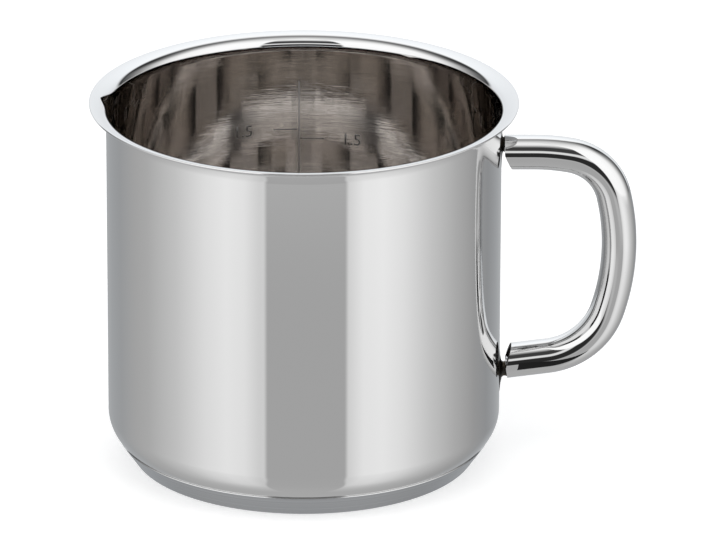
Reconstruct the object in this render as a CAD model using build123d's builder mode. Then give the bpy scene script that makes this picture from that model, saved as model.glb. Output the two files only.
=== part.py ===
"""Milk pan: drawn steel pot with a pouring rim, encapsulated base and welded loop handle.

Millimetres. The origin is at the middle of the base's underside, +Z runs up the pot's axis
and +X points to the handle.
"""
from build123d import *
from math import cos, radians, sin, sqrt
import os

# Pot: outside sizes, one sheet thickness all over
body_diameter = 143.5
pot_height = 136.4
lip_overhang = 6.25
wall = 0.75
corner_radius = 12.5

# Flare of the rim: two tangent bends on the outside of the sheet, then a straight lip
lower_bend_radius = 5.45
lower_bend_angle = 35.0
upper_bend_radius = 1.85
upper_bend_angle = 43.0
lip_edge_radius = 0.3

# Pouring beak: a V channel pressed out of the wall and rim opposite the handle
beak_azimuth = 176.0
beak_height = 17.0
beak_depth = 4.0
beak_mouth_width = 26.0
beak_foot_width = 6.0
beak_tip_radius = 2.0
beak_sink = 0.3

# Base: aluminium core between two brazed joints in a steel capsule
base_inset = 9.15
cap_wall = 0.6
cap_edge_radius = 1.2
cap_rim_height = 8.3
seam_gap = 0.45
braze_thickness = 0.2
disc_thickness = 4.0
disc_rim_drop = 1.8
disc_side_gap = 0.15

# Handle: round tube bent to a D in the plane of the pot's axis
tube_diameter = 12.7
tube_wall = 1.0
handle_drop = 20.0
upper_neck_length = 1.1
lower_neck_length = 2.1
upper_run_length = 10.6
shoulder_radius = 75.0
shoulder_angle = 10.2
upper_elbow_radius = 20.0
upper_elbow_angle = 66.4
grip_radius = 84.2
grip_angle = 31.1
lower_elbow_radius = 26.3
lower_run_slope = 7.4

# Tube ends: square on the outer half, cut back on the inner half, closed by recessed plugs
bevel_angle = 23.0
bevel_offset = 0.7
plug_length = 4.0
plug_recess = 1.0
plug_gap = 0.03

# Weld feet: a neck under the square half of each tube end, on a thin pad that hugs the wall
neck_diameter = 6.2
neck_inset = 0.2
pad_height = 14.0
pad_width = 10.0
pad_thickness = 0.4
weld_gap = 0.02

# One overrun serves every cut
overrun = 2.0

# Worked out from the sizes above
body_radius = body_diameter / 2
lip_radius = body_radius + lip_overhang
inner_radius = body_radius - wall
base_radius = body_radius - base_inset
core_top = cap_wall + braze_thickness + disc_thickness
pot_underside = core_top + braze_thickness
corner_inset = body_radius - corner_radius
corner_height = pot_underside + corner_radius

lip_turn = lower_bend_angle + upper_bend_angle
lip_slope = 90 - lip_turn
bend_reach = lower_bend_radius * (1 - cos(radians(lower_bend_angle))) + upper_bend_radius * (
    cos(radians(lower_bend_angle)) - cos(radians(lip_turn))
)
lip_length = (lip_overhang - bend_reach) / cos(radians(lip_slope))
bend_rise = (lower_bend_radius + wall) * sin(radians(lower_bend_angle)) + (upper_bend_radius + wall) * (
    sin(radians(lip_turn)) - sin(radians(lower_bend_angle))
)
bend_start = pot_height - bend_rise - lip_length * sin(radians(lip_slope))

rim_gap_radius = corner_radius + seam_gap
cap_rim_radius = corner_inset + sqrt(rim_gap_radius**2 - (corner_height - cap_rim_height) ** 2)
cap_lean = (cap_rim_radius - base_radius) / cap_rim_height
cap_slant = sqrt(1 + cap_lean**2)
disc_rim_height = cap_rim_height - disc_rim_drop

handle_height = pot_height - handle_drop
tube_radius = tube_diameter / 2
bore_radius = tube_radius - tube_wall
plug_radius = bore_radius - plug_gap
neck_offset = tube_radius - neck_diameter / 2 - neck_inset
lower_elbow_angle = 180 - lower_run_slope - shoulder_angle - upper_elbow_angle - grip_angle


def surface_line(depth, lip_extra=0):
    """Section line of the pot from its axis to the lip, depth inside the outer surface."""
    floor = Line((0, pot_underside + depth), (corner_inset, pot_underside + depth))
    corner = JernArc(floor @ 1, floor % 1, corner_radius - depth, 90)
    side = Line(corner @ 1, (body_radius - depth, bend_start))
    lower_bend = JernArc(side @ 1, side % 1, lower_bend_radius + depth, -lower_bend_angle)
    upper_bend = JernArc(lower_bend @ 1, lower_bend % 1, upper_bend_radius + depth, -upper_bend_angle)
    lip = Line(upper_bend @ 1, upper_bend @ 1 + (upper_bend % 1) * (lip_length + lip_extra))
    return lip @ 1


def beak_section(height, extra):
    """Kite section of the pouring channel at one height, extra wider than its inner surface."""
    rise_share = min(1, (height - pot_height + beak_height) / beak_height)
    half_width = (beak_foot_width + (beak_mouth_width - beak_foot_width) * rise_share) / 2
    reach = inner_radius - beak_sink + (beak_depth + beak_sink) * rise_share
    flank_start = sqrt(inner_radius**2 - half_width**2) - beak_sink
    turned = Vector(1, 0, 0).rotate(Axis.Z, beak_azimuth)
    with BuildSketch(Plane(origin=(0, 0, height), x_dir=turned)) as section:
        with BuildLine():
            Polyline(
                (reach + extra, 0),
                (flank_start + extra, half_width),
                (flank_start - half_width, 0),
                (flank_start + extra, -half_width),
                close=True,
            )
        make_face()
        fillet(section.vertices().group_by(Axis(origin=(0, 0, 0), direction=turned))[-1], beak_tip_radius + extra)
    return section.sketch


# Pot body: solid outside form with the channel's bulge, then hollowed
with BuildPart() as pot_body:
    with BuildSketch(Plane.XZ):
        with BuildLine():
            lip_under = surface_line(0)
            lip_top = lip_under + Vector(-sin(radians(lip_slope)), cos(radians(lip_slope))) * wall
            Polyline(lip_under, lip_top, (0, pot_height), (0, pot_underside))
        make_face()
    revolve(axis=Axis.Z)
    add(beak_section(pot_height - beak_height, wall))
    add(beak_section(pot_height, wall))
    loft(ruled=True)
    with BuildSketch(Plane.XZ):
        with BuildLine():
            lip_end = surface_line(wall, overrun)
            Polyline(
                lip_end,
                (lip_end.X, pot_height + overrun),
                (0, pot_height + overrun),
                (0, pot_underside + wall),
            )
        make_face()
    revolve(axis=Axis.Z, mode=Mode.SUBTRACT)
    add(beak_section(pot_height - beak_height, 0))
    add(beak_section(pot_height + overrun, 0))
    loft(ruled=True, mode=Mode.SUBTRACT)
    rim_edges = pot_body.edges().filter_by(GeomType.CIRCLE).filter_by(lambda e: e.radius > lip_radius - wall)
    fillet(rim_edges, lip_edge_radius)


def pot_envelope(gap):
    """Section of the space that the pot's rounded bottom takes, kept gap away from it."""
    with BuildSketch(Plane.XZ) as envelope:
        with Locations((corner_inset, corner_height)):
            Circle(corner_radius + gap)
        with Locations((0, pot_underside - gap)):
            Rectangle(corner_inset, corner_radius, align=(Align.MIN, Align.MIN))
        with Locations((0, corner_height)):
            Rectangle(lip_radius, corner_radius + gap, align=(Align.MIN, Align.MIN))
    return envelope.sketch


def capsule_line(depth, floor_height):
    """Closed section of the capsule's inside at a depth below its outer surface."""
    shift = depth * cap_slant
    Polyline(
        (0, floor_height),
        (base_radius + cap_lean * floor_height - shift, floor_height),
        (base_radius + cap_lean * corner_height - shift, corner_height),
        (0, corner_height),
        close=True,
    )


# Base cap: steel dish with a conical side whose rim stops at the seam under the pot's corner
with BuildPart() as base_cap:
    with BuildSketch(Plane.XZ) as dish:
        with BuildLine():
            capsule_line(0, 0)
        make_face()
        bottom_edge = dish.vertices().sort_by(Axis.Y)[:2].sort_by(Axis.X)[-1:]
        fillet(bottom_edge, cap_edge_radius)
        with BuildLine():
            capsule_line(cap_wall, cap_wall)
        make_face(mode=Mode.SUBTRACT)
        with Locations((0, cap_rim_height)):
            Rectangle(lip_radius, corner_height, align=(Align.MIN, Align.MIN), mode=Mode.SUBTRACT)
        add(pot_envelope(seam_gap), mode=Mode.SUBTRACT)
    revolve(axis=Axis.Z)

# Heat disc: aluminium core that fills the capsule up to its rim
with BuildPart() as heat_disc:
    with BuildSketch(Plane.XZ) as core:
        with BuildLine():
            capsule_line(cap_wall + disc_side_gap, cap_wall + braze_thickness)
        make_face()
        with Locations((0, disc_rim_height)):
            Rectangle(lip_radius, corner_height, align=(Align.MIN, Align.MIN), mode=Mode.SUBTRACT)
        add(pot_envelope(braze_thickness), mode=Mode.SUBTRACT)
    revolve(axis=Axis.Z)

# Braze layers: one under the pot's flat floor, one on the capsule's floor
with BuildPart() as upper_braze_layer:
    with BuildSketch(Plane.XY.offset(core_top)):
        Circle(corner_inset)
    extrude(amount=braze_thickness)

with BuildPart() as lower_braze_layer:
    with BuildSketch(Plane.XY.offset(cap_wall)):
        Circle(base_radius + cap_lean * cap_wall - (cap_wall + disc_side_gap) * cap_slant)
    extrude(amount=braze_thickness)

# Handle route: level run, easy shoulder, tight elbow, long grip, lower elbow, sloping run
with BuildLine(Plane.XZ) as handle_route:
    upper_run = Line(
        (body_radius + upper_neck_length, handle_height),
        (body_radius + upper_neck_length + upper_run_length, handle_height),
    )
    shoulder = JernArc(upper_run @ 1, upper_run % 1, shoulder_radius, -shoulder_angle)
    upper_elbow = JernArc(shoulder @ 1, shoulder % 1, upper_elbow_radius, -upper_elbow_angle)
    grip = JernArc(upper_elbow @ 1, upper_elbow % 1, grip_radius, -grip_angle)
    lower_elbow = JernArc(grip @ 1, grip % 1, lower_elbow_radius, -lower_elbow_angle)
    lower_run_length = ((lower_elbow @ 1).X - body_radius - lower_neck_length) / cos(radians(lower_run_slope))
    lower_run = Line(lower_elbow @ 1, lower_elbow @ 1 + (lower_elbow % 1) * lower_run_length)


def end_plane(end, inward, side):
    """Plane on a tube end: its normal runs into the tube and its Y points to the outer half."""
    return Plane(origin=end, x_dir=Vector(0, 0, side).cross(inward), z_dir=inward)


upper_end = end_plane(upper_run @ 0, upper_run % 0, 1)
lower_end = end_plane(lower_run @ 1, (lower_run % 1) * -1, -1)


def bevel_wedge(end, recess):
    """Block that cuts the inner half of a tube end back, recess deeper along the tube."""
    reach = tube_diameter + recess
    outer = end.y_dir * bevel_offset
    back = end.z_dir * recess
    cut_axis = Axis(end.origin, end.x_dir)
    cut_normal = end.z_dir.rotate(cut_axis, -bevel_angle)
    cut = Plane(origin=end.origin + outer + back, x_dir=end.x_dir, z_dir=cut_normal * -1)
    with BuildPart() as wedge:
        with BuildSketch(cut):
            Rectangle(reach * 2, reach * 2)
        extrude(amount=reach)
    return wedge.part


# Handle tube: one bent tube, both ends cut back where they face the finger gap
with BuildPart() as handle_tube:
    with BuildSketch(upper_end):
        Circle(tube_radius)
        Circle(bore_radius, mode=Mode.SUBTRACT)
    sweep(path=handle_route.line)
    for end in (upper_end, lower_end):
        add(bevel_wedge(end, 0), mode=Mode.SUBTRACT)


def end_plug(end):
    """Plug in a tube end: flush with the square half, recessed behind the bevel."""
    with BuildPart() as plug:
        with BuildSketch(end):
            Circle(plug_radius)
        extrude(amount=plug_length)
        add(bevel_wedge(end, plug_recess), mode=Mode.SUBTRACT)
    return plug.part


def weld_foot(end):
    """Neck that carries a tube end, on a leaf-shaped pad that follows the pot's wall."""
    foot = end.origin + end.y_dir * neck_offset
    wall_plane = Plane(origin=(0, 0, foot.Z), x_dir=(0, 1, 0), z_dir=(1, 0, 0))
    with BuildPart() as part:
        with BuildSketch(wall_plane):
            Ellipse(pad_width / 2, pad_height / 2)
        extrude(amount=body_radius + pad_thickness)
        with BuildSketch(Plane.XY.offset(foot.Z)):
            Circle(body_radius + pad_thickness)
        extrude(amount=pad_height, both=True, mode=Mode.INTERSECT)
        with BuildSketch(Plane(origin=foot, x_dir=end.x_dir, z_dir=end.z_dir * -1)):
            Circle(neck_diameter / 2)
        extrude(amount=body_radius / 2)
        with BuildSketch(Plane.XY.offset(foot.Z)):
            Circle(body_radius + weld_gap)
        extrude(amount=pad_height, both=True, mode=Mode.SUBTRACT)
    return part.part


upper_end_plug = end_plug(upper_end)
lower_end_plug = end_plug(lower_end)
upper_weld_foot = weld_foot(upper_end)
lower_weld_foot = weld_foot(lower_end)

pieces = {
    "pot_body": pot_body.part,
    "base_cap": base_cap.part,
    "heat_disc": heat_disc.part,
    "upper_braze_layer": upper_braze_layer.part,
    "lower_braze_layer": lower_braze_layer.part,
    "handle_tube": handle_tube.part,
    "upper_end_plug": upper_end_plug,
    "lower_end_plug": lower_end_plug,
    "upper_weld_foot": upper_weld_foot,
    "lower_weld_foot": lower_weld_foot,
}

os.makedirs("parts", exist_ok=True)
for name, piece in pieces.items():
    piece.label = name
    export_step(piece, f"parts/{name}.step")
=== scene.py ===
"""Looks of a polished steel milk pan on a pale studio floor.

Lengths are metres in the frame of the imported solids: the origin is at the middle of the base's
underside, +Z runs up the pot's axis and +X points to the handle. Fields that end in _deg are degrees.
"""

import logging
import math
from dataclasses import dataclass, field
from enum import Enum
from typing import Any, Optional, Sequence, Union

import bmesh
import bpy
from mathutils import Matrix, Vector


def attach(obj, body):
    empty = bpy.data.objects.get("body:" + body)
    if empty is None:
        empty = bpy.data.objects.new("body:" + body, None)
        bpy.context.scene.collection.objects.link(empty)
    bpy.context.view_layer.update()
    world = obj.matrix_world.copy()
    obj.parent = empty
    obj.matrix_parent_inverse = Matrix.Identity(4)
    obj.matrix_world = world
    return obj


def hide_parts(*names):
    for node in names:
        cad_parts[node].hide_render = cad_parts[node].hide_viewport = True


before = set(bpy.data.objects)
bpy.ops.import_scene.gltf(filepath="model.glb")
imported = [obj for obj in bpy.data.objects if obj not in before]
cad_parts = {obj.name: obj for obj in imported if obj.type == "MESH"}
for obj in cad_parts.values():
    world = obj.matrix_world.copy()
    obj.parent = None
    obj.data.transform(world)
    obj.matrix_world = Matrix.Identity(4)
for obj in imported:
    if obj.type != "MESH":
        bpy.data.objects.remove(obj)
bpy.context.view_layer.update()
log = logging.getLogger("milk_pan")

ROOT = "root"
BOUNCES = 20
Colour = tuple[float, float, float]
Term = Union["Sock", float]
Span = tuple[float, float]
Levels = tuple[Span, ...]


# Shader maths


class Sock:
    """An output socket that takes part in expressions, each of which adds a Math node."""

    def __init__(self, shader: "Shader", socket: bpy.types.NodeSocket) -> None:
        """Wraps a socket of one of the shader's nodes."""
        self.shader = shader
        self.socket = socket

    def math(self, operation: str, *terms: Term) -> "Sock":
        """Adds a Math node.

        Args:
            operation: The Math node's operation.
            terms: Its inputs, in order.

        Returns:
            The node's output.
        """
        return self.shader.node("ShaderNodeMath", {"operation": operation}, dict(enumerate(terms)))

    def __add__(self, other: Term) -> "Sock":
        """Sum."""
        return self.math("ADD", self, other)

    def __radd__(self, other: Term) -> "Sock":
        """Sum with a number on the left."""
        return self.math("ADD", other, self)

    def __sub__(self, other: Term) -> "Sock":
        """Difference."""
        return self.math("SUBTRACT", self, other)

    def __rsub__(self, other: Term) -> "Sock":
        """Difference from a number on the left."""
        return self.math("SUBTRACT", other, self)

    def __mul__(self, other: Term) -> "Sock":
        """Product."""
        return self.math("MULTIPLY", self, other)

    def __rmul__(self, other: Term) -> "Sock":
        """Product with a number on the left."""
        return self.math("MULTIPLY", other, self)

    def __truediv__(self, other: Term) -> "Sock":
        """Quotient."""
        return self.math("DIVIDE", self, other)

    def __abs__(self) -> "Sock":
        """Size without sign."""
        return self.math("ABSOLUTE", self)

    def root(self) -> "Sock":
        """Square root."""
        return self.math("SQRT", self)

    def highest(self, other: Term) -> "Sock":
        """The larger of two."""
        return self.math("MAXIMUM", self, other)

    def step(self, low: float, high: float) -> "Sock":
        """Smooth rise from 0 at low to 1 at high.

        Args:
            low: Value where the rise starts.
            high: Value where it ends, which may be the smaller of the two.

        Returns:
            The rise, kept between 0 and 1.
        """
        settings = {"interpolation_type": "SMOOTHSTEP"}
        if low < high:
            return self.shader.node("ShaderNodeMapRange", settings, {"Value": self, 1: low, 2: high})
        return 1.0 - self.shader.node("ShaderNodeMapRange", settings, {"Value": self, 1: high, 2: low})


class Shader:
    """Node tree of one material or of the world while it is being built."""

    def __init__(self, owner: Union[bpy.types.Material, bpy.types.World]) -> None:
        """Clears the owner's tree."""
        owner.use_nodes = True
        self.tree = owner.node_tree
        self.tree.nodes.clear()

    def node(self, kind: str, settings: dict[str, Any], inputs: dict[Any, Any], out: Any = 0) -> Sock:
        """Adds a node.

        Args:
            kind: The node's type.
            settings: Properties, set first; "stops" fills a ramp with (place, colour) pairs.
            inputs: Values or links by the socket's name or number.
            out: Name or number of the output to give back.

        Returns:
            That output.
        """
        node = self.tree.nodes.new(kind)
        for name, value in settings.items():
            if name == "stops":
                self._fill_ramp(node.color_ramp, value)
            else:
                setattr(node, name, value)
        for key, value in inputs.items():
            if isinstance(value, Sock):
                self.tree.links.new(value.socket, node.inputs[key])
            else:
                node.inputs[key].default_value = value
        return Sock(self, node.outputs[out])

    @staticmethod
    def _fill_ramp(ramp: bpy.types.ColorRamp, stops: Sequence[tuple[float, Colour]]) -> None:
        """Puts the stops into a ramp that is new."""
        ramp.interpolation = "B_SPLINE"
        while len(ramp.elements) < len(stops):
            ramp.elements.new(1.0)
        for element, (place, colour) in zip(ramp.elements, stops):
            element.position = place
            element.color = (*colour, 1.0)

    def ramp(self, value: Sock, stops: Sequence[tuple[float, Colour]]) -> Sock:
        """Smooth colour ramp over a value from 0 to 1."""
        return self.node("ShaderNodeValToRGB", {"stops": stops}, {0: value})

    def mix(self, factor: Term, first: Union[Sock, Colour], second: Union[Sock, Colour]) -> Sock:
        """Blends two colours.

        Args:
            factor: 0 gives the first colour and 1 the second.
            first: A colour or a colour output.
            second: The same.

        Returns:
            The blended colour.
        """
        plain = [(*c, 1.0) if isinstance(c, tuple) else c for c in (first, second)]
        return self.node("ShaderNodeMix", {"data_type": "RGBA"}, {0: factor, 6: plain[0], 7: plain[1]}, out=2)

    def axes(self, vector: Sock) -> tuple[Sock, Sock, Sock]:
        """The three parts of a vector."""
        split = self.node("ShaderNodeSeparateXYZ", {}, {0: vector})
        outputs = split.socket.node.outputs
        return split, Sock(self, outputs[1]), Sock(self, outputs[2])

    def vector(self, x: Term, y: Term, z: Term) -> Sock:
        """A vector from three numbers."""
        return self.node("ShaderNodeCombineXYZ", {}, {0: x, 1: y, 2: z})

    def noise(self, place: Sock, scale: float, detail: float = 3.0, roughness: float = 0.5) -> Sock:
        """Soft noise from 0 to 1."""
        inputs = {"Vector": place, "Scale": scale, "Detail": detail, "Roughness": roughness}
        return self.node("ShaderNodeTexNoise", {}, inputs)

    def bump(self, height: Sock, depth: float, under: Optional[Sock] = None) -> Sock:
        """Normal of a relief.

        Args:
            height: Height from 0 to 1.
            depth: Depth of the relief in metres.
            under: Normal of another relief that this one lies on.

        Returns:
            The normal.
        """
        inputs = {"Strength": 1.0, "Distance": depth, "Height": height}
        return self.node("ShaderNodeBump", {}, inputs if under is None else {**inputs, "Normal": under})

    def ray(self, output: str) -> Sock:
        """What the Light Path node says about the ray."""
        return self.node("ShaderNodeLightPath", {}, {}, out=output)

    def close(self, shader: Sock, output: str = "ShaderNodeOutputMaterial") -> None:
        """Links a shader to the tree's output."""
        node = self.tree.nodes.new(output)
        self.tree.links.new(shader.socket, node.inputs["Surface"])


# Finishes


@dataclass(frozen=True)
class Finish:
    """A metal finish: its colour, its gloss and how both vary over the piece."""

    name: str
    colour: Colour
    roughness: float

    def material(self) -> bpy.types.Material:
        """The finish as a material, made on first use."""
        known = bpy.data.materials.get(self.name)
        if known:
            return known
        made = bpy.data.materials.new(self.name)
        shader = Shader(made)
        place = shader.node("ShaderNodeTexCoord", {}, {}, out="Object")
        self.weave(shader, place)
        return made

    def weave(self, shader: Shader, place: Sock) -> None:
        """Builds the nodes of the finish on object coordinates."""
        raise NotImplementedError

    def shaded(self, share: float) -> Colour:
        """The finish's colour, made darker or lighter by a share."""
        red, green, blue = self.colour
        return share * red, share * green, share * blue

    def metal(self, shader: Shader, **varying: Any) -> None:
        """Closes the tree with a metal.

        Args:
            shader: The tree.
            varying: Sockets of the metal by name, with spaces as underscores.
        """
        inputs: dict[str, Any] = {"Base Color": (*self.colour, 1.0), "Roughness": self.roughness, "Metallic": 1.0}
        inputs.update({name.replace("_", " "): value for name, value in varying.items()})
        shader.close(shader.node("ShaderNodeBsdfPrincipled", {}, inputs))


@dataclass(frozen=True)
class MirrorPolish(Finish):
    """Buffed steel: a clear mirror with a haze of fine wiping marks."""

    name: str = "mirror_polish"
    colour: Colour = (0.72, 0.72, 0.72)
    roughness: float = 0.022
    haze: float = 0.025
    cloud_scale: float = 22.0
    line_stretch: float = 90.0
    line_scale: float = 28.0
    line_depth: float = 0.0000006
    haze_from: Span = (0.42, 0.75)
    shade: float = 0.985

    def weave(self, shader: Shader, place: Sock) -> None:
        """Clouds of haze in the gloss, and polishing lines that run round the piece."""
        x, y, z = shader.axes(place)
        clouds = shader.noise(place, self.cloud_scale, 4.0)
        lines = shader.noise(shader.vector(x, y, z * self.line_stretch), self.line_scale, 2.0, 0.6)
        gloss = self.roughness + self.haze * clouds.step(*self.haze_from)
        tone = shader.mix(clouds, self.colour, self.shaded(self.shade))
        self.metal(shader, Base_Color=tone, Roughness=gloss, Normal=shader.bump(lines, self.line_depth))


@dataclass(frozen=True)
class BrushedInside(Finish):
    """Inside of the pot: bright steel brushed round the wall and in rings on the floor."""

    name: str = "brushed_inside"
    colour: Colour = (0.748, 0.727, 0.709)
    roughness: float = 0.006
    streak: float = 0.009
    line_scale: float = 1600.0
    line_length_share: float = 0.04
    line_depth: float = 0.000006
    wave_scale: float = 230.0
    wave_depth: float = 0.000012
    wave_stretch: float = 0.35
    groove_from: Span = (0.3, 0.7)
    shade: float = 0.88

    def weave(self, shader: Shader, place: Sock) -> None:
        """Fine brushing along the wall, with the slow waves that spinning leaves in the sheet."""
        x, y, z = shader.axes(place)
        across = (x * x + y * y).root() - z
        along = self.line_length_share
        brushing = shader.noise(shader.vector(x * along, y * along, across), self.line_scale, 3.0, 0.6)
        bend = self.wave_stretch
        waves = shader.noise(shader.vector(x * bend, y * bend, across), self.wave_scale, 2.0)
        gloss = self.roughness + self.streak * brushing
        tone = shader.mix(brushing.step(*self.groove_from), self.colour, self.shaded(self.shade))
        relief = shader.bump(brushing, self.line_depth)
        self.metal(shader, Base_Color=tone, Roughness=gloss, Normal=shader.bump(waves, self.wave_depth, relief))


@dataclass(frozen=True)
class TurnedSatin(Finish):
    """Base cap: satin steel with the rings that turning leaves on its side and underside."""

    name: str = "turned_satin"
    colour: Colour = (0.560, 0.575, 0.592)
    roughness: float = 0.22
    ring_scale: float = 900.0
    ring_depth: float = 0.000008
    ring_lean: float = 0.6
    cloud_scale: float = 45.0
    foot_radius: float = 0.0606
    foot_edge: float = 0.002
    dull: float = 0.12
    wear: float = 0.10
    groove_from: Span = (0.3, 0.7)
    shade: float = 0.84

    def weave(self, shader: Shader, place: Sock) -> None:
        """Rings round the axis, duller on the underside where the pan slides on the hob."""
        x, y, z = shader.axes(place)
        radius = (x * x + y * y).root()
        rings = shader.noise(shader.vector(radius, z * self.ring_lean, 0.0), self.ring_scale, 4.0, 0.65)
        clouds = shader.noise(place, self.cloud_scale)
        under = radius.step(self.foot_radius + self.foot_edge, self.foot_radius)
        gloss = self.roughness + self.dull * rings * clouds + self.wear * under
        tone = shader.mix(rings.step(*self.groove_from), self.colour, self.shaded(self.shade))
        self.metal(shader, Base_Color=tone, Roughness=gloss, Normal=shader.bump(rings, self.ring_depth))


@dataclass(frozen=True)
class WeldSteel(Finish):
    """Weld that carries a tube end: rippled, dull steel with darkened straw and blue heat colours on a near-black
    ground that is painted shade of the gap between the tube end and the wall.
    """

    name: str = "weld_heat_tint_and_painted_shade"
    # Near-black colour: painted shade of the gap between tube end and wall; the straw and blue heat colours are the
    # weld's own.
    colour: Colour = (0.050, 0.048, 0.046)
    roughness: float = 0.36
    ripple_scale: float = 420.0
    ripple_depth: float = 0.00012
    patch_scale: float = 160.0
    straw: Colour = (0.10, 0.080, 0.056)
    straw_from: Span = (0.40, 0.62)
    blue: Colour = (0.036, 0.043, 0.062)
    blue_from: Span = (0.58, 0.74)
    dull: float = 0.25

    def weave(self, shader: Shader, place: Sock) -> None:
        """Ripples of the bead with patches of heat colour on near-black painted shade."""
        ripples = shader.noise(place, self.ripple_scale, 3.0, 0.6)
        patches = shader.noise(place, self.patch_scale)
        straw = shader.mix(patches.step(*self.straw_from), self.colour, self.straw)
        tone = shader.mix(patches.step(*self.blue_from), straw, self.blue)
        gloss = self.roughness + self.dull * ripples
        self.metal(shader, Base_Color=tone, Roughness=gloss, Normal=shader.bump(ripples, self.ripple_depth))


@dataclass(frozen=True)
class PaintedShadeSteel(Finish):
    """Plugs inside the tube ends and the tube's cut ends: near-black painted shade of the hollow ends, mottled with a
    little paler steel.
    """

    name: str = "painted_shade_steel"
    # Near-black colour: painted shade inside the hollow tube ends, not the steel's own colour.
    colour: Colour = (0.05, 0.048, 0.046)
    roughness: float = 0.5
    grain_scale: float = 600.0
    grain_depth: float = 0.00003
    paler: Colour = (0.16, 0.155, 0.15)
    paler_from: Span = (0.45, 0.8)
    dull: float = 0.2

    def weave(self, shader: Shader, place: Sock) -> None:
        """Painted shade of the hollow tube ends, mottled with a little paler steel."""
        mottle = shader.noise(place, self.grain_scale, 4.0, 0.6)
        tone = shader.mix(mottle.step(*self.paler_from), self.colour, self.paler)
        gloss = self.roughness + self.dull * mottle
        self.metal(shader, Base_Color=tone, Roughness=gloss, Normal=shader.bump(mottle, self.grain_depth))


@dataclass(frozen=True)
class EtchedLine(Finish):
    """Etched marks of the volume scale: matt grey steel."""

    name: str = "etched_line"
    colour: Colour = (0.17, 0.165, 0.16)
    roughness: float = 0.42
    grain_scale: float = 2500.0
    bright: float = 1.5
    dull: float = 0.2

    def weave(self, shader: Shader, place: Sock) -> None:
        """Fine bite of the acid."""
        bite = shader.noise(place, self.grain_scale, 2.0)
        tone = shader.mix(bite, self.colour, self.shaded(self.bright))
        self.metal(shader, Base_Color=tone, Roughness=self.roughness + self.dull * bite)


@dataclass(frozen=True)
class PressedAlloy(Finish):
    """Core metals inside the base: pressed aluminium and its braze."""

    name: str = "pressed_aluminium"
    colour: Colour = (0.76, 0.765, 0.775)
    roughness: float = 0.38
    grain_scale: float = 380.0
    grain_depth: float = 0.00002
    shade: float = 0.8
    dull: float = 0.15

    def weave(self, shader: Shader, place: Sock) -> None:
        """Grain of a pressed surface."""
        grain = shader.noise(place, self.grain_scale, 4.0, 0.6)
        tone = shader.mix(grain, self.colour, self.shaded(self.shade))
        gloss = self.roughness + self.dull * grain
        self.metal(shader, Base_Color=tone, Roughness=gloss, Normal=shader.bump(grain, self.grain_depth))


# Mesh tools


@dataclass
class WirePen:
    """Draws a section in the XZ plane as one wire of straight runs and true arcs.

    The verts carry a layer, "inner", that is 1 on the inside of a sheet and 0 elsewhere.
    """

    bm: bmesh.types.BMesh
    tip: bmesh.types.BMVert
    heading: Vector
    layer: Any
    guard: float = 0.0003

    @classmethod
    def start(cls, bm: bmesh.types.BMesh, x: float, z: float, heading_deg: float = 0.0) -> "WirePen":
        """Sets the pen down.

        Args:
            bm: Mesh that takes the wire.
            x: Distance from the axis.
            z: Height.
            heading_deg: Direction of the first stretch, up from +X.

        Returns:
            The pen.
        """
        layer = bm.verts.layers.int.get("inner") or bm.verts.layers.int.new("inner")
        tip = bmesh.ops.create_vert(bm, co=(x, 0.0, z))["vert"][0]
        turn = math.radians(heading_deg)
        return cls(bm, tip, Vector((math.cos(turn), 0.0, math.sin(turn))), layer)

    def run(self, length: float, rows: int = 1) -> "WirePen":
        """Draws a straight stretch in equal rows, with a guard row at each end that steadies the shading."""
        inside = length - 2 * self.guard
        steps = [self.guard] + [inside / rows] * rows + [self.guard] if inside > self.guard else [length]
        for step in steps:
            self.tip = bmesh.ops.extrude_vert_indiv(self.bm, verts=[self.tip])["verts"][0]
            bmesh.ops.translate(self.bm, verts=[self.tip], vec=self.heading * step)
        return self

    def turn(self, radius: float, angle_deg: float, steps: int) -> "WirePen":
        """Draws an arc that is tangent to the wire.

        Args:
            radius: Radius of the arc.
            angle_deg: Turn, positive to the left.
            steps: Pieces of the arc.

        Returns:
            The pen.
        """
        sign = math.copysign(1.0, angle_deg)
        angle = math.radians(abs(angle_deg))
        left = Vector((-self.heading.z, 0.0, self.heading.x))
        axis = Vector((0.0, -sign, 0.0))
        spun = bmesh.ops.spin(
            self.bm, geom=[self.tip], cent=self.tip.co + left * radius * sign, axis=axis, angle=angle, steps=steps
        )
        self.tip = next(item for item in spun["geom_last"] if isinstance(item, bmesh.types.BMVert))
        self.heading = Matrix.Rotation(angle, 3, axis) @ self.heading
        return self

    def turn_over(self) -> "WirePen":
        """Goes on along the inside of the sheet: what follows the tip is marked as inner."""
        self.tip[self.layer] = 1
        return self


def lathe(bm: bmesh.types.BMesh, segments: int, wedges: int = 16) -> None:
    """Turns the wire of a mesh once round the Z axis and closes its seam and poles.

    Args:
        bm: Mesh that holds the wire.
        segments: Columns of faces round the axis, a multiple of the wedges.
        wedges: Equal wedges that the turn is put together from, which is quicker than one long spin.
    """
    wedge = math.tau / wedges
    axis = {"cent": (0.0, 0.0, 0.0), "axis": (0.0, 0.0, 1.0)}
    bmesh.ops.spin(bm, geom=[*bm.verts, *bm.edges], angle=wedge, steps=segments // wedges, **axis)
    whole = [*bm.verts, *bm.edges, *bm.faces]
    bmesh.ops.spin(bm, geom=whole, angle=math.tau - wedge, steps=wedges - 1, use_duplicate=True, **axis)
    bmesh.ops.remove_doubles(bm, verts=bm.verts, dist=1e-7)
    bmesh.ops.recalc_face_normals(bm, faces=bm.faces)


def mesh_object(bm: bmesh.types.BMesh, name: str) -> bpy.types.Object:
    """Makes an object in the scene from a mesh, which is freed."""
    mesh = bpy.data.meshes.new(name)
    bm.to_mesh(mesh)
    bm.free()
    made = bpy.data.objects.new(name, mesh)
    bpy.context.scene.collection.objects.link(made)
    return made


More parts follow.
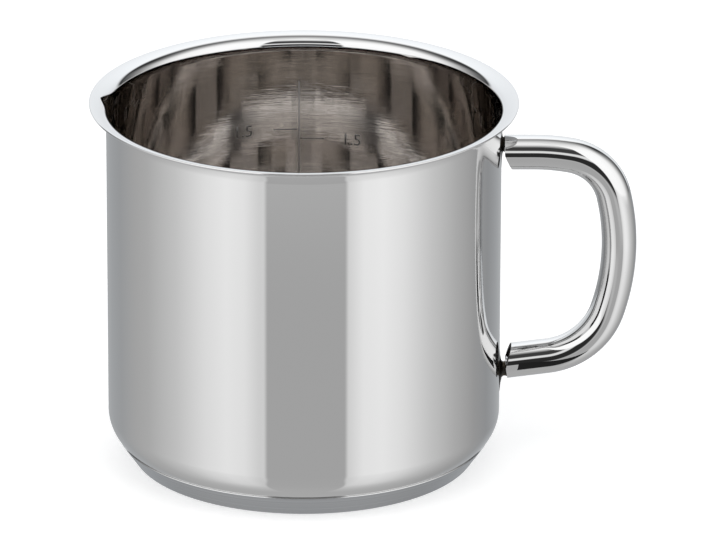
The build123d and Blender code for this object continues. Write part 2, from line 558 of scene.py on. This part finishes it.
def finished_piece(
    bm: bmesh.types.BMesh, name: str, finishes: Sequence[Finish], nodes: Sequence[str]
) -> bpy.types.Object:
    """Turns a mesh into a piece of the pan.

    Args:
        bm: The mesh, which is freed.
        name: Name of the piece.
        finishes: Finishes in the order of the faces' material numbers.
        nodes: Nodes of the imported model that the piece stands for.

    Returns:
        The piece, riding on the pan's only body.
    """
    for face in bm.faces:
        face.smooth = True
    piece = mesh_object(bm, name)
    for finish in finishes:
        piece.data.materials.append(finish.material())
    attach(piece, ROOT)
    if nodes:
        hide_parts(*nodes)
    log.info("%s: %d faces", name, len(piece.data.polygons))
    return piece


# Sub-assemblies


@dataclass
class Beak:
    """Pouring beak: a V channel pressed out of the wall and the flare."""

    azimuth_deg: float = 176.0
    height: float = 0.017
    depth: float = 0.0035
    mouth_width: float = 0.034
    foot_width: float = 0.010
    sink: float = 0.0003
    tip_softness: float = 0.010
    crease: float = 0.00045

    def reach(self, radius: float, top: float, azimuth: float, height: float) -> float:
        """Radius of the channel's inner surface.

        Args:
            radius: Inner radius of the pot.
            top: Height of the lip.
            azimuth: Angle from the beak's middle, in radians.
            height: Height of the point.

        Returns:
            The radius, or 0 below the channel's foot.
        """
        rise = min(1.0, (height - top + self.height) / self.height)
        half = (self.foot_width + (self.mouth_width - self.foot_width) * rise) / 2
        if rise < 0.0 or abs(azimuth) > math.asin(half / radius):
            return 0.0
        tip = radius - self.sink + (self.depth + self.sink) * rise
        flank = math.sqrt(radius**2 - half**2) - self.sink
        side = math.sqrt(math.sin(azimuth) ** 2 + self.tip_softness**2)
        return half * tip / (half * math.cos(azimuth) + (tip - flank) * side)

    def press(self, vert: bmesh.types.BMVert, radius: float, top: float, extra: float) -> None:
        """Moves a vert of the pot out to the channel where the channel lies outside it.

        Args:
            vert: The vert.
            radius: Inner radius of the pot.
            top: Height of the lip.
            extra: How far the vert's surface lies outside the inner one.
        """
        at = vert.co.to_2d()
        azimuth = at.angle_signed(Matrix.Rotation(math.radians(self.azimuth_deg), 2) @ Vector((1.0, 0.0)), 0.0)
        wanted = self.reach(radius, top, azimuth, vert.co.z)
        gap = wanted + extra - at.length
        if wanted == 0.0 or gap < -self.crease:
            return
        push = max(gap, 0.0) + max(self.crease - abs(gap), 0.0) ** 2 / (4 * self.crease)
        vert.co += at.normalized().to_3d() * push


@dataclass
class PotShell:
    """The drawn pot: straight wall, rounded corner, flared lip and beak, polished out and brushed in.

    Each arc of the flare is given by its radius, its angle in degrees and its rows of faces.
    """

    radius: float = 0.07175
    wall: float = 0.00075
    underside: float = 0.0050
    corner_radius: float = 0.0125
    bend_start: float = 0.13037
    flare: tuple[tuple[float, float, int], ...] = (
        (0.01075, 12.0, 6), (0.00245, 33.0, 12), (0.00365, 18.0, 6), (0.00975, 7.5, 4), (0.00975, 16.5, 8),
    )
    edge_run: float = 0.00005
    top: float = 0.1364
    segments: int = 432
    beak: Beak = field(default_factory=Beak)

    def build(self) -> bpy.types.Object:
        """Builds and dresses the pot."""
        bm = bmesh.new()
        inner = self._draw_section(bm)
        bmesh.ops.rotate(
            bm, verts=bm.verts, cent=(0, 0, 0), matrix=Matrix.Rotation(math.radians(self.beak.azimuth_deg), 3, "Z")
        )
        lathe(bm, self.segments)
        for vert in bm.verts:
            if vert.co.z > self.top - self.beak.height:
                extra = 0.0 if vert[inner] else self.wall
                self.beak.press(vert, self.radius - self.wall, self.top, extra)
        for face in bm.faces:
            face.material_index = int(self._is_brushed(face))
        return finished_piece(bm, "pot_shell", (MirrorPolish(), BrushedInside()), ["pot_body"])

    def _draw_section(self, bm: bmesh.types.BMesh) -> Any:
        """Draws the sheet's section from the axis out to the lip and back.

        Args:
            bm: Mesh that takes the wire.

        Returns:
            The layer that marks the inner surface.
        """
        corner_inset = self.radius - self.corner_radius
        side = self.bend_start - self.underside - self.corner_radius
        pen = WirePen.start(bm, 0.0, self.underside)
        pen.run(corner_inset, 6).turn(self.corner_radius, 90, 24)
        pen.run(side - self.beak.height, 10).run(self.beak.height, 16)
        for radius, angle_deg, steps in self.flare:
            pen.turn(radius, -angle_deg, steps)
        pen.run(self.edge_run).turn(self.wall / 2, 180, 10).turn_over().run(self.edge_run)
        for radius, angle_deg, steps in reversed(self.flare):
            pen.turn(radius + self.wall, angle_deg, steps)
        pen.run(self.beak.height, 24).run(side - self.beak.height, 12)
        pen.turn(self.corner_radius - self.wall, -90, 24).run(corner_inset, 12)
        return pen.layer

    def _is_brushed(self, face: bmesh.types.BMFace) -> bool:
        """Whether a face belongs to the brushed inside."""
        centre = face.calc_center_median()
        outward = face.normal.dot(centre.to_2d().normalized().to_3d())
        return centre.z < self.bend_start and (outward < -0.05 or face.normal.z > 0.5)


@dataclass
class BaseCap:
    """Steel capsule under the pot, with a leaning satin side."""

    radius: float = 0.0626
    edge_radius: float = 0.0012
    rim_radius: float = 0.06836
    rim_height: float = 0.0083
    sheet: float = 0.0006
    rim_softness: float = 0.00012
    bevel: float = 0.00024
    segments: int = 384

    def build(self) -> bpy.types.Object:
        """Builds and dresses the capsule."""
        bm = bmesh.new()
        lean = math.atan2(self.rim_radius - self.radius, self.rim_height)
        rise_deg = 90 - math.degrees(lean)
        slant = self.rim_height / math.cos(lean)
        setback = self.edge_radius * math.tan(math.radians(rise_deg) / 2)
        top_width = self.sheet / math.cos(lean) - self.bevel - self.rim_softness
        pen = WirePen.start(bm, 0.0, 0.0)
        pen.run(self.radius - setback, 16).turn(self.edge_radius, rise_deg, 8)
        pen.run(slant - setback - self.bevel, 6)
        pen.turn(self.bevel, 180 - rise_deg, 8).run(top_width)
        pen.turn(self.rim_softness, rise_deg, 6)
        pen.run(slant - (self.sheet + self.rim_softness) / math.cos(lean), 4).turn(self.edge_radius / 4, -rise_deg, 4)
        pen.run(pen.tip.co.x)
        lathe(bm, self.segments)
        for face in bm.faces:
            centre = face.calc_center_median()
            face.material_index = int(centre.z > self.rim_height - self.bevel * 1.2 and face.normal.z > 0.1)
        return finished_piece(bm, "base_capsule", (TurnedSatin(), MirrorPolish()), ["base_cap"])


@dataclass
class TubeEnd:
    """One end of the handle tube: where it is, where it points and how it is cut."""

    origin: Vector
    inward: Vector
    outer: Vector
    bevel_deg: float = 23.0
    bevel_offset: float = 0.0007

    def cuts(self) -> list[tuple[Vector, Vector]]:
        """The two planes of the cut, each with its normal pointing off the tube."""
        bevel = math.radians(self.bevel_deg)
        slanted = -(self.inward * math.cos(bevel) + self.outer * math.sin(bevel))
        return [(self.origin, -self.inward), (self.origin + self.outer * self.bevel_offset, slanted)]


@dataclass
class HandleLoop:
    """Welded loop handle: one bent tube, its plugs and the two weld feet on the pot's wall.

    Each bend is given by its radius, its angle in degrees and its rows of faces.
    """

    wall_radius: float = 0.07175
    tube_radius: float = 0.00635
    tube_wall: float = 0.001
    height: float = 0.1164
    upper_neck: float = 0.0011
    lower_neck: float = 0.0021
    upper_run: float = 0.0106
    shoulder: tuple[float, float, int] = (0.075, 10.2, 8)
    upper_elbow: tuple[float, float, int] = (0.020, 66.4, 32)
    grip: tuple[float, float, int] = (0.0842, 31.1, 20)
    lower_elbow: tuple[float, float, int] = (0.0263, 64.9, 32)
    stub: float = 0.003
    cut_reach: float = 0.012
    segments: int = 96
    neck_radius: float = 0.0031
    neck_inset: float = 0.0002
    weld_gap: float = 0.00002
    foot_rings: tuple[tuple[float, float, float], ...] = (
        (1.0, 0.95, 0.95), (0.8, 0.86, 0.86), (0.5, 0.84, 0.86), (0.28, 0.95, 1.05), (0.12, 1.2, 1.7),
        (0.05, 1.4, 2.3), (0.0, 1.55, 2.9),
    )
    edge_bevel: float = 0.00012
    edge_angle_deg: float = 50.0

    def build(self) -> None:
        """Builds the tube and the feet, and dresses the plugs, which keep their own shape."""
        upper, lower = self._build_tube()
        self._build_foot("upper_weld", upper, "upper_weld_foot")
        self._build_foot("lower_weld", lower, "lower_weld_foot")
        # The plugs take near-black painted shade for the hollow inside the tube ends.
        for node in ("upper_end_plug", "lower_end_plug"):
            dress_node(node, PaintedShadeSteel())

    def _build_tube(self) -> tuple[TubeEnd, TubeEnd]:
        """Bends the tube, cuts its ends and gives it its wall.

        Returns:
            The upper and the lower end.
        """
        bm = bmesh.new()
        start = Vector((self.wall_radius + self.upper_neck, 0.0, self.height))
        upper = TubeEnd(start, Vector((1, 0, 0)), Vector((0, 0, 1)))
        ring = bmesh.ops.create_circle(bm, segments=self.segments, radius=self.tube_radius)["verts"]
        bmesh.ops.rotate(bm, verts=ring, cent=(0, 0, 0), matrix=Matrix.Rotation(math.pi / 2, 3, "Y"))
        bmesh.ops.translate(bm, verts=ring, vec=start - upper.inward * self.stub)
        edges = list(bm.edges)
        tip, heading = start - upper.inward * self.stub, upper.inward.copy()
        edges, tip = self._straight(bm, edges, tip, heading, self.stub + self.upper_run, 12)
        for radius, angle_deg, steps in (self.shoulder, self.upper_elbow, self.grip, self.lower_elbow):
            edges, tip, heading = self._arc(bm, edges, tip, heading, radius, math.radians(angle_deg), steps)
        length = (tip.x - self.wall_radius - self.lower_neck) / -heading.x
        lower = TubeEnd(tip + heading * length, -heading, Vector((-heading.z, 0.0, heading.x)))
        self._straight(bm, edges, tip, heading, length + self.stub, 14)
        for end in (upper, lower):
            self._cut(bm, end)
        bmesh.ops.recalc_face_normals(bm, faces=bm.faces)
        # The cut ends of the tube wall, the solidify rim, take the same near-black painted shade.
        finishes = (MirrorPolish(), PaintedShadeSteel())
        tube = finished_piece(bm, "handle_loop", finishes, ["handle_tube"])
        shell = tube.modifiers.new("tube_wall", "SOLIDIFY")
        shell.thickness = self.tube_wall
        shell.offset = -1.0
        shell.material_offset_rim = 1
        edge = tube.modifiers.new("cut_edge", "BEVEL")
        edge.width = self.edge_bevel
        edge.segments = 2
        edge.limit_method = "ANGLE"
        edge.angle_limit = math.radians(self.edge_angle_deg)
        edge.harden_normals = True
        return upper, lower

    @staticmethod
    def _straight(
        bm: bmesh.types.BMesh, edges: list, tip: Vector, heading: Vector, length: float, rows: int
    ) -> tuple[list, Vector]:
        """Draws the tube on in a straight line.

        Args:
            bm: The tube's mesh.
            edges: Edges of its last ring.
            tip: Middle of that ring.
            heading: Direction of the run.
            length: Length of the run.
            rows: Rows of faces in the run.

        Returns:
            Edges and middle of the new last ring.
        """
        for _ in range(rows):
            made = bmesh.ops.extrude_edge_only(bm, edges=edges)["geom"]
            ring = [item for item in made if isinstance(item, bmesh.types.BMVert)]
            edges = [item for item in made if isinstance(item, bmesh.types.BMEdge)]
            bmesh.ops.translate(bm, verts=ring, vec=heading * (length / rows))
        return edges, tip + heading * length

    @staticmethod
    def _arc(
        bm: bmesh.types.BMesh, edges: list, tip: Vector, heading: Vector, radius: float, angle: float, steps: int
    ) -> tuple[list, Vector, Vector]:
        """Draws the tube on round a bend that turns down and back to the pot.

        Args:
            bm: The tube's mesh.
            edges: Edges of its last ring.
            tip: Middle of that ring.
            heading: Direction at the bend's start.
            radius: Radius of the bend's centre line.
            angle: Angle of the bend in radians.
            steps: Rows of faces in the bend.

        Returns:
            Edges and middle of the new last ring, and the direction there.
        """
        centre = tip + Vector((heading.z, 0.0, -heading.x)) * radius
        axis = Vector((0.0, 1.0, 0.0))
        spun = bmesh.ops.spin(bm, geom=edges, cent=centre, axis=axis, angle=angle, steps=steps)
        turn = Matrix.Rotation(angle, 3, axis)
        edges = [item for item in spun["geom_last"] if isinstance(item, bmesh.types.BMEdge)]
        return edges, centre + turn @ (tip - centre), turn @ heading

    def _cut(self, bm: bmesh.types.BMesh, end: TubeEnd) -> None:
        """Cuts a tube end square on its outer half and slanting on its inner half."""
        for point, normal in end.cuts():
            faces = [f for f in bm.faces if (f.calc_center_median() - end.origin).length < self.cut_reach]
            edges = {e for f in faces for e in f.edges}
            verts = {v for f in faces for v in f.verts}
            bmesh.ops.bisect_plane(
                bm, geom=[*verts, *edges, *faces], plane_co=point, plane_no=normal, clear_outer=True, dist=1e-7
            )

    def _build_foot(self, name: str, end: TubeEnd, node: str) -> None:
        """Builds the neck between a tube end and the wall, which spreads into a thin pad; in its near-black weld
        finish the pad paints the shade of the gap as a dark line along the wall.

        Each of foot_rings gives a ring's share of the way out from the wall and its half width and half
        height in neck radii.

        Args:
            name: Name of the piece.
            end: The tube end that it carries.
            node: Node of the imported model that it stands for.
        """
        bm = bmesh.new()
        middle = end.origin + end.outer * (self.tube_radius - self.neck_radius - self.neck_inset)
        bmesh.ops.create_circle(bm, cap_ends=True, segments=48, radius=1.0)
        edges = [e for e in bm.edges if e.is_boundary]
        rings = [[v for e in edges for v in e.verts]]
        for _ in self.foot_rings[1:]:
            made = bmesh.ops.extrude_edge_only(bm, edges=edges)["geom"]
            edges = [item for item in made if isinstance(item, bmesh.types.BMEdge)]
            rings.append([item for item in made if isinstance(item, bmesh.types.BMVert)])
        bmesh.ops.edgeloop_fill(bm, edges=edges)
        for ring, (share, wide, high) in zip(rings, self.foot_rings):
            for vert in set(ring):
                across, up = vert.co.x * wide * self.neck_radius, vert.co.y * high * self.neck_radius
                on_wall = math.sqrt((self.wall_radius + self.weld_gap) ** 2 - across**2)
                on_end = middle.x - up * end.inward.z / end.inward.x
                vert.co = Vector((on_wall + (on_end - on_wall) * share, across, middle.z + up))
        bmesh.ops.recalc_face_normals(bm, faces=bm.faces)
        finished_piece(bm, name, (WeldSteel(),), [node])


class MarkSide(Enum):
    """Side of the volume scale's upright line that a mark stands on."""

    LEFT = -1
    RIGHT = 1


@dataclass
class VolumeScale:
    """Etched volume scale on the inner wall across from the viewer: an upright line, two ticks and numerals."""

    radius: float = 0.0710
    lift: float = 0.00002
    depth: float = 0.00003
    line_width: float = 0.0004
    line_azimuth_deg: float = -1.5
    line_bottom: float = 0.030
    line_top: float = 0.1186
    left_height: float = 0.0996
    right_height: float = 0.0960
    tick_length: float = 0.0088
    tick_gap: float = 0.0007
    font_size: float = 0.006302
    left_numeral_deg: float = -18.6
    right_numeral_deg: float = 14.4
    numeral: str = "1.5"

    def build(self) -> None:
        """Builds the marks and dresses them."""
        bm = bmesh.new()
        height = self.line_top - self.line_bottom
        width_deg = math.degrees(self.line_width / self.radius)
        self._strip(bm, self.line_azimuth_deg - width_deg / 2, width_deg, self.line_bottom, height, 2)
        for side, level in ((MarkSide.LEFT, self.left_height), (MarkSide.RIGHT, self.right_height)):
            span = math.degrees(self.tick_length / self.radius)
            gap = math.degrees(self.tick_gap / self.radius)
            start = self.line_azimuth_deg + (gap if side is MarkSide.RIGHT else -gap - span)
            self._strip(bm, start, span, level - self.line_width / 2, self.line_width, 16)
        bmesh.ops.recalc_face_normals(bm, faces=bm.faces)
        finished_piece(bm, "scale_lines", (EtchedLine(),), [])
        self._numerals("scale_numeral_left", self.left_numeral_deg, self.left_height)
        self._numerals("scale_numeral_right", self.right_numeral_deg, self.right_height)

    def _strip(
        self, bm: bmesh.types.BMesh, start_deg: float, span_deg: float, bottom: float, height: float, steps: int
    ) -> None:
        """Adds a thin slab that lies on the wall.

        Args:
            bm: Mesh that takes it.
            start_deg: Azimuth of its left end, from +Y towards +X.
            span_deg: Angle that it spans.
            bottom: Height of its lower edge.
            height: Its height.
            steps: Pieces along the wall.
        """
        outside = self.radius - self.lift
        slab = bmesh.ops.create_grid(bm, x_segments=1, y_segments=1, size=0.5)["verts"]
        stand = Matrix.Rotation(math.pi / 2, 4, "X") @ Matrix.Diagonal((self.depth, height, 1.0, 1.0))
        place = Matrix.Translation((outside - self.depth / 2, 0.0, bottom + height / 2))
        turn = Matrix.Rotation(math.pi / 2 - math.radians(start_deg), 4, "Z")
        bmesh.ops.transform(bm, matrix=turn @ place @ stand, verts=slab)
        faces = list({f for v in slab for f in v.link_faces})
        bmesh.ops.spin(
            bm,
            geom=[*slab, *{e for v in slab for e in v.link_edges}, *faces],
            cent=(0, 0, 0),
            axis=(0, 0, -1),
            angle=math.radians(span_deg),
            steps=steps,
        )

    def _numerals(self, name: str, azimuth_deg: float, level: float) -> None:
        """Lays the numerals of one mark on the wall.

        Args:
            name: Name of the piece.
            azimuth_deg: Azimuth of their middle, from +Y towards +X.
            level: Height of their middle.
        """
        text = bpy.data.curves.new(name, "FONT")
        text.body = self.numeral
        text.size = self.font_size
        text.align_x = "CENTER"
        text.align_y = "CENTER"
        text.extrude = self.depth / 2
        text.resolution_u = 6
        carrier = bpy.data.objects.new(name + "_text", text)
        bpy.context.scene.collection.objects.link(carrier)
        flat = bpy.data.meshes.new_from_object(carrier.evaluated_get(bpy.context.evaluated_depsgraph_get()))
        bpy.data.objects.remove(carrier)
        bm = bmesh.new()
        bm.from_mesh(flat)
        bmesh.ops.remove_doubles(bm, verts=bm.verts, dist=1e-7)
        for vert in bm.verts:
            turn = math.radians(azimuth_deg) + vert.co.x / self.radius
            radius = self.radius - self.lift - self.depth / 2 - vert.co.z
            vert.co = Vector((radius * math.sin(turn), radius * math.cos(turn), level + vert.co.y))
        finished_piece(bm, name, (EtchedLine(),), [])


def dress_node(node: str, finish: Finish) -> None:
    """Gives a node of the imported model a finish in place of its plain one."""
    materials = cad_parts[node].data.materials
    materials.clear()
    materials.append(finish.material())
    log.info("%s: %s", node, finish.name)


@dataclass
class BaseCore:
    """What the base holds: an aluminium disc between two layers of braze."""

    disc: Finish = field(default_factory=PressedAlloy)
    braze: Finish = field(default_factory=lambda: PressedAlloy("brazed_alloy", (0.58, 0.56, 0.52), 0.5))

    def build(self) -> None:
        """Dresses the hidden nodes."""
        dress_node("heat_disc", self.disc)
        dress_node("upper_braze_layer", self.braze)
        dress_node("lower_braze_layer", self.braze)


# Studio


@dataclass
class Studio:
    """Pale table and the soft light of a studio.

    Two tall white panels stand in front of the pan with a gap between them for the lens, a white backdrop
    stands behind it and a white ceiling hangs over it. Azimuths run from the camera's side to the right,
    and radiances are shares of the plain level.
    """

    floor_size: float = 12.0
    floor_colour: Colour = (0.80, 0.80, 0.80)
    floor_lift: float = 0.47
    table: Levels = (
        (-180, 0.45), (-136, 0.42), (-104, 0.54), (-80, 0.73), (-60, 0.97), (-46, 1.07), (-35, 1.02), (-26, 0.84),
        (26, 0.86), (35, 1.06), (47, 1.10), (60, 1.00), (80, 0.74), (100, 0.55), (120, 0.41), (136, 0.36),
        (160, 0.45), (180, 0.50),
    )
    table_reach: Levels = (
        (-90, 0.0), (-78, 0.0), (-68, 0.13), (-60, 0.32), (-52, 0.60), (-45, 0.69), (-27, 0.85), (-21.3, 1.0),
        (-20.3, 1.06), (90, 1.06),
    )
    table_below: float = 0.53
    gap: tuple[float, float, float] = (1.35, 23.65, 1.5)
    gap_spread: float = 7.0
    gap_spread_from: Span = (-27.0, -65.0)
    gap_table: float = 0.49
    table_edge: tuple[float, float, float] = (0.1, -21.2, -19.4)
    horizon: tuple[float, float, float] = (-8.0, 7.5, 2.5)
    cool: Colour = (0.97, 1.0, 1.03)
    cool_from: Span = (0.35, 0.8)
    gap_levels: Levels = (
        (-90, 0.03), (11, 0.03), (15, 1.0), (24, 1.0), (29, 0.06), (48, 0.06), (55, 0.38), (64, 0.95), (72, 1.2),
        (90, 1.05),
    )
    front: Levels = ((-90, 1.32), (0, 1.32), (20, 1.37), (56, 1.37), (66, 1.27), (76, 1.08), (90, 1.0))
    rear_edge: Levels = (
        (-1.0, 1.0), (-0.35, 1.0), (-0.1, 0.93), (0.0, 0.78), (0.1, 0.55), (0.2, 0.30), (0.3, 0.12), (0.4, 0.0),
        (1.0, 0.0),
    )
    rear_lean: tuple[float, float, float] = (0.6, 25.0, 50.0)
    arch: Span = (0.05, 0.29)
    arch_rise: Span = (40.0, 78.0)
    backdrop: Span = (0.94, 1.36)
    backdrop_rise: Span = (-5.0, 55.0)
    backdrop_edge: Span = (1.6, 2.7)
    backdrop_bow: float = 1.9
    backdrop_side: Span = (0.02, 0.06)
    flag_box: tuple[Span, Span, Span] = ((0.0786, 0.137), (-0.010, -0.010), (0.0276, 0.0362))
    flag_reach: float = 0.0074
    flag_fade: float = 0.0005
    flag_level: float = 0.02

    def build(self) -> None:
        """Builds the floor, the flag and the light."""
        self._floor()
        self._flag()
        self._world()

    @staticmethod
    def _card(name: str, place: Matrix) -> Shader:
        """Sets a flat card on the stage.

        Args:
            name: Name of the card.
            place: What brings a unit square to its place.

        Returns:
            The empty tree of the card's material.
        """
        bm = bmesh.new()
        bmesh.ops.create_grid(bm, x_segments=1, y_segments=1, size=0.5)
        bmesh.ops.transform(bm, matrix=place, verts=bm.verts)
        card = mesh_object(bm, name)
        paint = bpy.data.materials.new(name + "_paint")
        card.data.materials.append(paint)
        return Shader(paint)

    def _flag(self) -> None:
        """Stands a black flag in front of the handle's lower run, which alone is near enough to mirror it."""
        (left, right), (depth, _), (low, high) = self.flag_box
        shape = Matrix.Diagonal((right - left, 1.0, high - low, 1.0)) @ Matrix.Rotation(math.pi / 2, 4, "X")
        shader = self._card("flag", Matrix.Translation(((left + right) / 2, depth, (low + high) / 2)) @ shape)
        glossy = shader.ray("Is Glossy Ray")
        length = shader.ray("Ray Length")
        near = glossy * length.step(self.flag_reach, self.flag_reach - self.flag_fade)
        black = shader.node("ShaderNodeEmission", {}, {"Color": (1, 1, 1, 1), "Strength": self.flag_level})
        clear = shader.node("ShaderNodeBsdfTransparent", {}, {})
        shader.close(shader.node("ShaderNodeMixShader", {}, {0: near, 1: clear, 2: black}))

    def _floor(self) -> None:
        """Lays the floor: it catches the pan's shadow, and mirrors look through it at the painted light."""
        shader = self._card("floor", Matrix.Scale(self.floor_size, 4))
        matt = shader.node("ShaderNodeBsdfDiffuse", {}, {"Color": (*self.floor_colour, 1.0)})
        seen = shader.ray("Is Camera Ray")
        glow = shader.node("ShaderNodeEmission", {}, {"Color": (1, 1, 1, 1), "Strength": seen * self.floor_lift})
        pale = shader.node("ShaderNodeAddShader", {}, {0: matt, 1: glow})
        clear = shader.node("ShaderNodeBsdfTransparent", {}, {})
        glossy = shader.ray("Is Glossy Ray")
        shader.close(shader.node("ShaderNodeMixShader", {}, {0: glossy, 1: pale, 2: clear}))

    def _world(self) -> None:
        """Paints the light by direction."""
        world = bpy.data.worlds.new("studio")
        bpy.context.scene.world = world
        shader = Shader(world)
        direction = shader.node("ShaderNodeTexCoord", {}, {}, out="Generated")
        x, y, z = shader.axes(direction)
        azimuth = x.math("ARCTAN2", x, -1.0 * y) * (180 / math.pi)
        elevation = z.math("ARCSINE", z) * (180 / math.pi)
        middle, half, soft = self.gap
        beside = abs(azimuth - middle) - self.gap_spread * elevation.step(*self.gap_spread_from)
        inside = beside.step(half + soft, half - soft)
        low = self._table(shader, azimuth, elevation, inside)
        high = self._walls(shader, x, y, z, elevation)
        high = high + (self._levels(shader, elevation, self.gap_levels) - high) * inside
        level, drop, blur = self.horizon
        start = level - drop * inside
        light = low + (high - low) * (elevation - start).step(-blur, blur)
        tint = shader.mix(y.step(*self.cool_from), (1.0, 1.0, 1.0), self.cool)
        seen = shader.ray("Is Camera Ray")
        colour = shader.mix(seen, tint, (1.0, 1.0, 1.0))
        strength = light + (1.0 - light) * seen
        painted = shader.node("ShaderNodeBackground", {}, {"Color": colour, "Strength": strength})
        shader.close(painted, "ShaderNodeOutputWorld")

    def _table(self, shader: Shader, azimuth: Sock, elevation: Sock, inside: Sock) -> Sock:
        """Light of the table: it falls off away from the panels, and is plain right under the pan.

        Args:
            shader: The world's tree.
            azimuth: Azimuth in degrees.
            elevation: Elevation in degrees.
            inside: 1 in front of the gap between the panels.

        Returns:
            The radiance.
        """
        lit = self._levels(shader, azimuth, self.table)
        rise, near, far = self.table_edge
        lit = lit + (self.gap_table + rise * elevation.step(near, far) - lit) * inside
        return self.table_below + (lit - self.table_below) * self._levels(shader, elevation, self.table_reach)

    def _walls(self, shader: Shader, x: Sock, y: Sock, z: Sock, elevation: Sock) -> Sock:
        """Light of the panels and the ceiling in front, of the backdrop behind, and the dark arch between.

        Args:
            shader: The world's tree.
            x: Part of the direction to the right.
            y: Part of it away from the camera.
            z: Part of it upwards.
            elevation: Elevation in degrees.

        Returns:
            The radiance.
        """
        front = self._levels(shader, elevation, self.front)
        low, high = self.arch
        arch = low + (high - low) * elevation.step(*self.arch_rise)
        share, start, end = self.rear_lean
        lean = y * (share + (1.0 - share) * elevation.step(start, end))
        light = arch + (front - arch) * self._levels(shader, lean, self.rear_edge)
        behind = y.highest(self.backdrop_side[0])
        spread = x / behind
        outline = z / behind + self.backdrop_bow * spread * spread
        nearest, farthest = self.backdrop_edge
        low, high = self.backdrop
        backdrop = low + (high - low) * elevation.step(*self.backdrop_rise)
        return light + (backdrop - light) * outline.step(farthest, nearest) * y.step(*self.backdrop_side)

    @staticmethod
    def _levels(shader: Shader, value: Sock, stops: Levels) -> Sock:
        """A level that runs straight between stops.

        Args:
            shader: The world's tree.
            value: Place among the stops.
            stops: Places, from the lowest to the highest, and levels of at most 2.

        Returns:
            The level.
        """
        low, high = stops[0][0], stops[-1][0]
        share = (value - low) / (high - low)
        ramp = shader.ramp(share, [((place - low) / (high - low), (level / 2,) * 3) for place, level in stops])
        ramp.socket.node.color_ramp.interpolation = "LINEAR"
        return ramp * 2.0


@dataclass
class PhotoCamera:
    """Long-lens camera where the photograph was taken from."""

    distance: float = 2.870
    elevation_deg: float = 20.92
    target_height: float = 0.06816
    image_size: tuple[int, int] = (716, 540)
    target_pixel: tuple[float, float] = (303.93, 276.06)
    focal_pixels: float = 7858.0
    roll_deg: float = 0.175
    sensor_width: float = 36.0

    def build(self) -> None:
        """Places the camera and makes it the scene's."""
        tilt = math.radians(self.elevation_deg)
        ahead = Vector((0.0, math.cos(tilt), -math.sin(tilt)))
        eye = Vector((0.0, 0.0, self.target_height)) - ahead * self.distance
        across = (self.target_pixel[0] - self.image_size[0] / 2) / self.focal_pixels
        down = (self.target_pixel[1] - self.image_size[1] / 2) / self.focal_pixels
        level = Vector((1.0, 0.0, 0.0))
        ahead = (ahead - level * across + level.cross(ahead) * down).normalized()
        right = ahead.cross(Vector((0.0, 0.0, 1.0))).normalized()
        right = Matrix.Rotation(-math.radians(self.roll_deg), 3, ahead) @ right
        up = right.cross(ahead)
        lens = bpy.data.cameras.new("photo_camera")
        lens.sensor_fit = "HORIZONTAL"
        lens.sensor_width = self.sensor_width
        lens.lens = self.focal_pixels / self.image_size[0] * self.sensor_width
        camera = bpy.data.objects.new("photo_camera", lens)
        camera.matrix_world = Matrix.Translation(eye) @ Matrix((right, up, -ahead)).transposed().to_4x4()
        bpy.context.scene.collection.objects.link(camera)
        bpy.context.scene.camera = camera


def main() -> None:
    """Builds the pan, then the studio and the camera."""
    logging.basicConfig(level=logging.INFO, format="%(name)s: %(message)s")
    for assembly in (PotShell(), BaseCap(), BaseCore(), HandleLoop(), VolumeScale(), Studio(), PhotoCamera()):
        log.info("building %s", type(assembly).__name__)
        assembly.build()
    scene = bpy.context.scene
    scene.view_settings.view_transform = "Standard"
    scene.cycles.max_bounces = scene.cycles.glossy_bounces = BOUNCES


if __name__ == "__main__":
    main()
